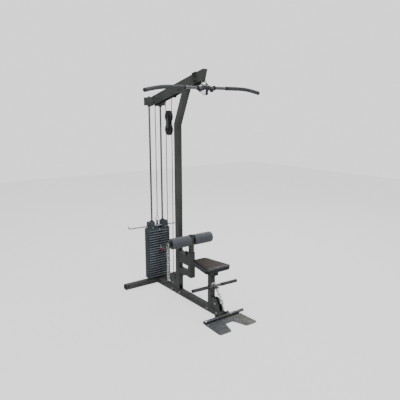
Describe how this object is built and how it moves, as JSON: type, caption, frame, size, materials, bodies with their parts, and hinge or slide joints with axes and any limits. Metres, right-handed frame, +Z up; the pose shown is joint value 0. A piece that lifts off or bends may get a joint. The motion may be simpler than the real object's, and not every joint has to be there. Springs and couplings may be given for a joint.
{
  "type": "lat pulldown machine",
  "caption": "Selectorised lat pulldown machine with a forward-raked boom, pin-select weight stack, floating pulley block, low row station, thigh rollers, seat and hinged foot plate.",
  "frame": {"origin": "middle of the bounding box on the floor", "axes": "+Z up, +Y towards the weight stack, -Y towards the user, +X towards the machine's side that shows no spare chain"},
  "size_m": [1.1488, 1.371, 2.11],
  "materials": {
    "frame_paint": "satin charcoal paint",
    "cast_iron": "painted cast iron, slightly rough",
    "chrome": "polished chrome plate",
    "bar_steel": "dull plated steel with rubber grips",
    "pulley_nylon": "black moulded nylon",
    "foam_grey": "closed-cell foam",
    "seat_vinyl": "dark brown vinyl",
    "knob_red": "crimson plastic ball knob on a steel pin",
    "cable_coat": "clear-grey coated wire rope",
    "tread_plate": "diamond tread plate, worn",
    "rubber_black": "black rubber"
  },
  "bodies": {
    "frame": {"base_beam": "frame_paint", "rear_cross_foot": "frame_paint", "upright": "frame_paint", "boom": "frame_paint", "guide_rod_left": "chrome", "guide_rod_right": "chrome", "stack_cushion": "rubber_black", "weight_plate_09": "cast_iron", "weight_plate_10": "cast_iron", "weight_plate_11": "cast_iron", "weight_plate_12": "cast_iron", "weight_plate_13": "cast_iron", "weight_plate_14": "cast_iron", "weight_plate_15": "cast_iron", "weight_plate_16": "cast_iron", "weight_plate_17": "cast_iron", "weight_plate_18": "cast_iron", "weight_plate_19": "cast_iron", "weight_plate_20": "cast_iron", "base_pulley_bracket": "frame_paint", "low_pulley_bracket": "frame_paint", "seat_post": "frame_paint", "seat_pad": "seat_vinyl", "thigh_sleeve": "frame_paint", "foot_hinge_bracket": "frame_paint", "upper_cable": "cable_coat", "lower_cable": "cable_coat", "stack_cable": "cable_coat"},
    "stack": {"weight_plate_01": "cast_iron", "weight_plate_02": "cast_iron", "weight_plate_03": "cast_iron", "weight_plate_04": "cast_iron", "weight_plate_05": "cast_iron", "weight_plate_06": "cast_iron", "weight_plate_07": "cast_iron", "weight_plate_08": "cast_iron", "top_plate": "cast_iron", "selector_stem": "chrome", "stack_side_rod": "chrome"},
    "selector_pin": {"selector_pin": "knob_red"},
    "lat_cable_end": {"lat_cable_end": "chrome"},
    "lat_link": {"lat_link": "chrome"},
    "lat_bar": {"lat_bar": "bar_steel"},
    "boom_pulley_front": {"boom_pulley_front": "pulley_nylon"},
    "boom_pulley_middle": {"boom_pulley_middle": "pulley_nylon"},
    "boom_pulley_block": {"boom_pulley_block": "pulley_nylon"},
    "boom_pulley_stack": {"boom_pulley_stack": "pulley_nylon"},
    "block": {"block_bracket": "frame_paint"},
    "block_pulley_upper": {"block_pulley_upper": "pulley_nylon"},
    "block_pulley_lower": {"block_pulley_lower": "pulley_nylon"},
    "base_pulley": {"base_pulley": "pulley_nylon"},
    "low_pulley": {"low_pulley": "pulley_nylon"},
    "low_handle": {"low_bar": "bar_steel", "low_chain": "chrome"},
    "thigh_post": {"thigh_post": "frame_paint"},
    "thigh_roller_left": {"thigh_roller_left": "foam_grey"},
    "thigh_roller_right": {"thigh_roller_right": "foam_grey"},
    "thigh_pin": {"thigh_pin": "pulley_nylon"},
    "spare_chain": {"spare_chain": "chrome"},
    "foot_plate": {"foot_plate": "tread_plate"}
  },
  "joints": [
    {"name": "stack_lift", "type": "slide", "parent": "frame", "child": "stack", "axis": [0, 0, 1], "range_m": [0, 0.95], "deforming": ["stack_cable"]},
    {"name": "selector_pin_pull", "type": "slide", "parent": "stack", "child": "selector_pin", "axis": [0, -1, 0], "range_m": [0, 0.065]},
    {"name": "lat_pull", "type": "slide", "parent": "frame", "child": "lat_cable_end", "axis": [0, 0, -1], "range_m": [0, 0.95]},
    {"name": "lat_link_swivel", "type": "hinge", "parent": "lat_cable_end", "child": "lat_link", "pos_m": [0, -0.1395, 1.9985], "axis": [0, 0, 1], "range_deg": [-60, 60]},
    {"name": "lat_bar_swing", "type": "hinge", "parent": "lat_link", "child": "lat_bar", "pos_m": [0, -0.1975, 1.977], "axis": [1, 0, 0], "range_deg": [-60, 18]},
    {"name": "boom_pulley_front_spin", "type": "hinge", "parent": "frame", "child": "boom_pulley_front", "pos_m": [0, -0.0955, 2.02984], "axis": [1, 0, 0], "continuous": true},
    {"name": "boom_pulley_middle_spin", "type": "hinge", "parent": "frame", "child": "boom_pulley_middle", "pos_m": [0, 0.2885, 1.9387], "axis": [1, 0, 0], "continuous": true},
    {"name": "boom_pulley_block_spin", "type": "hinge", "parent": "frame", "child": "boom_pulley_block", "pos_m": [0, 0.4785, 1.8936], "axis": [1, 0, 0], "continuous": true},
    {"name": "boom_pulley_stack_spin", "type": "hinge", "parent": "frame", "child": "boom_pulley_stack", "pos_m": [0, 0.5885, 1.8675], "axis": [1, 0, 0], "continuous": true},
    {"name": "low_row_pull", "type": "slide", "parent": "frame", "child": "low_handle", "axis": [0, -0.9397, 0.342], "range_m": [0, 0.9]},
    {"name": "block_drop", "type": "slide", "parent": "frame", "child": "block", "axis": [0, 0, -1], "range_m": [0, 0.45], "deforming": ["upper_cable", "lower_cable"]},
    {"name": "block_pulley_upper_spin", "type": "hinge", "parent": "block", "child": "block_pulley_upper", "pos_m": [0, 0.3835, 1.719], "axis": [1, 0, 0], "continuous": true},
    {"name": "block_pulley_lower_spin", "type": "hinge", "parent": "block", "child": "block_pulley_lower", "pos_m": [0, 0.3835, 1.6], "axis": [1, 0, 0], "continuous": true},
    {"name": "base_pulley_spin", "type": "hinge", "parent": "frame", "child": "base_pulley", "pos_m": [0, 0.306, 0.101], "axis": [1, 0, 0], "continuous": true},
    {"name": "low_pulley_spin", "type": "hinge", "parent": "frame", "child": "low_pulley", "pos_m": [0, -0.3645, 0.11], "axis": [1, 0, 0], "continuous": true},
    {"name": "thigh_height", "type": "slide", "parent": "frame", "child": "thigh_post", "axis": [0, 0, 1], "range_m": [-0.06, 0.075]},
    {"name": "thigh_roller_left_spin", "type": "hinge", "parent": "thigh_post", "child": "thigh_roller_left", "pos_m": [0, 0.0275, 0.591], "axis": [1, 0, 0], "continuous": true},
    {"name": "thigh_roller_right_spin", "type": "hinge", "parent": "thigh_post", "child": "thigh_roller_right", "pos_m": [0, 0.0275, 0.591], "axis": [1, 0, 0], "continuous": true},
    {"name": "thigh_pin_pull", "type": "slide", "parent": "frame", "child": "thigh_pin", "axis": [0, 1, 0], "range_m": [0, 0.012], "stiffness_N_per_m": 600, "springref_m": -0.008},
    {"name": "spare_chain_swing", "type": "hinge", "parent": "thigh_post", "child": "spare_chain", "pos_m": [-0.256, 0.0275, 0.591], "axis": [1, 0, 0], "range_deg": [-35, 35]},
    {"name": "foot_plate_fold", "type": "hinge", "parent": "frame", "child": "foot_plate", "pos_m": [0, -0.4575, 0.023], "axis": [-1, 0, 0], "range_deg": [0, 90]}
  ],
  "couplings": [
    {"joint": "lat_pull", "follows": "stack_lift", "ratio": 1},
    {"joint": "boom_pulley_front_spin", "follows": "stack_lift", "rad_per_m": 22.727},
    {"joint": "boom_pulley_middle_spin", "follows": "stack_lift", "rad_per_m": 22.727},
    {"joint": "boom_pulley_block_spin", "follows": "stack_lift", "rad_per_m": 22.727},
    {"joint": "boom_pulley_stack_spin", "follows": "stack_lift", "rad_per_m": 22.727},
    {"joint": "block_pulley_upper_spin", "follows": "stack_lift", "rad_per_m": -19.608},
    {"joint": "block_drop", "follows": "low_row_pull", "ratio": 0.5},
    {"joint": "block_pulley_lower_spin", "follows": "low_row_pull", "rad_per_m": 9.804},
    {"joint": "base_pulley_spin", "follows": "low_row_pull", "rad_per_m": -28.986},
    {"joint": "low_pulley_spin", "follows": "low_row_pull", "rad_per_m": -22.727}
  ]
}
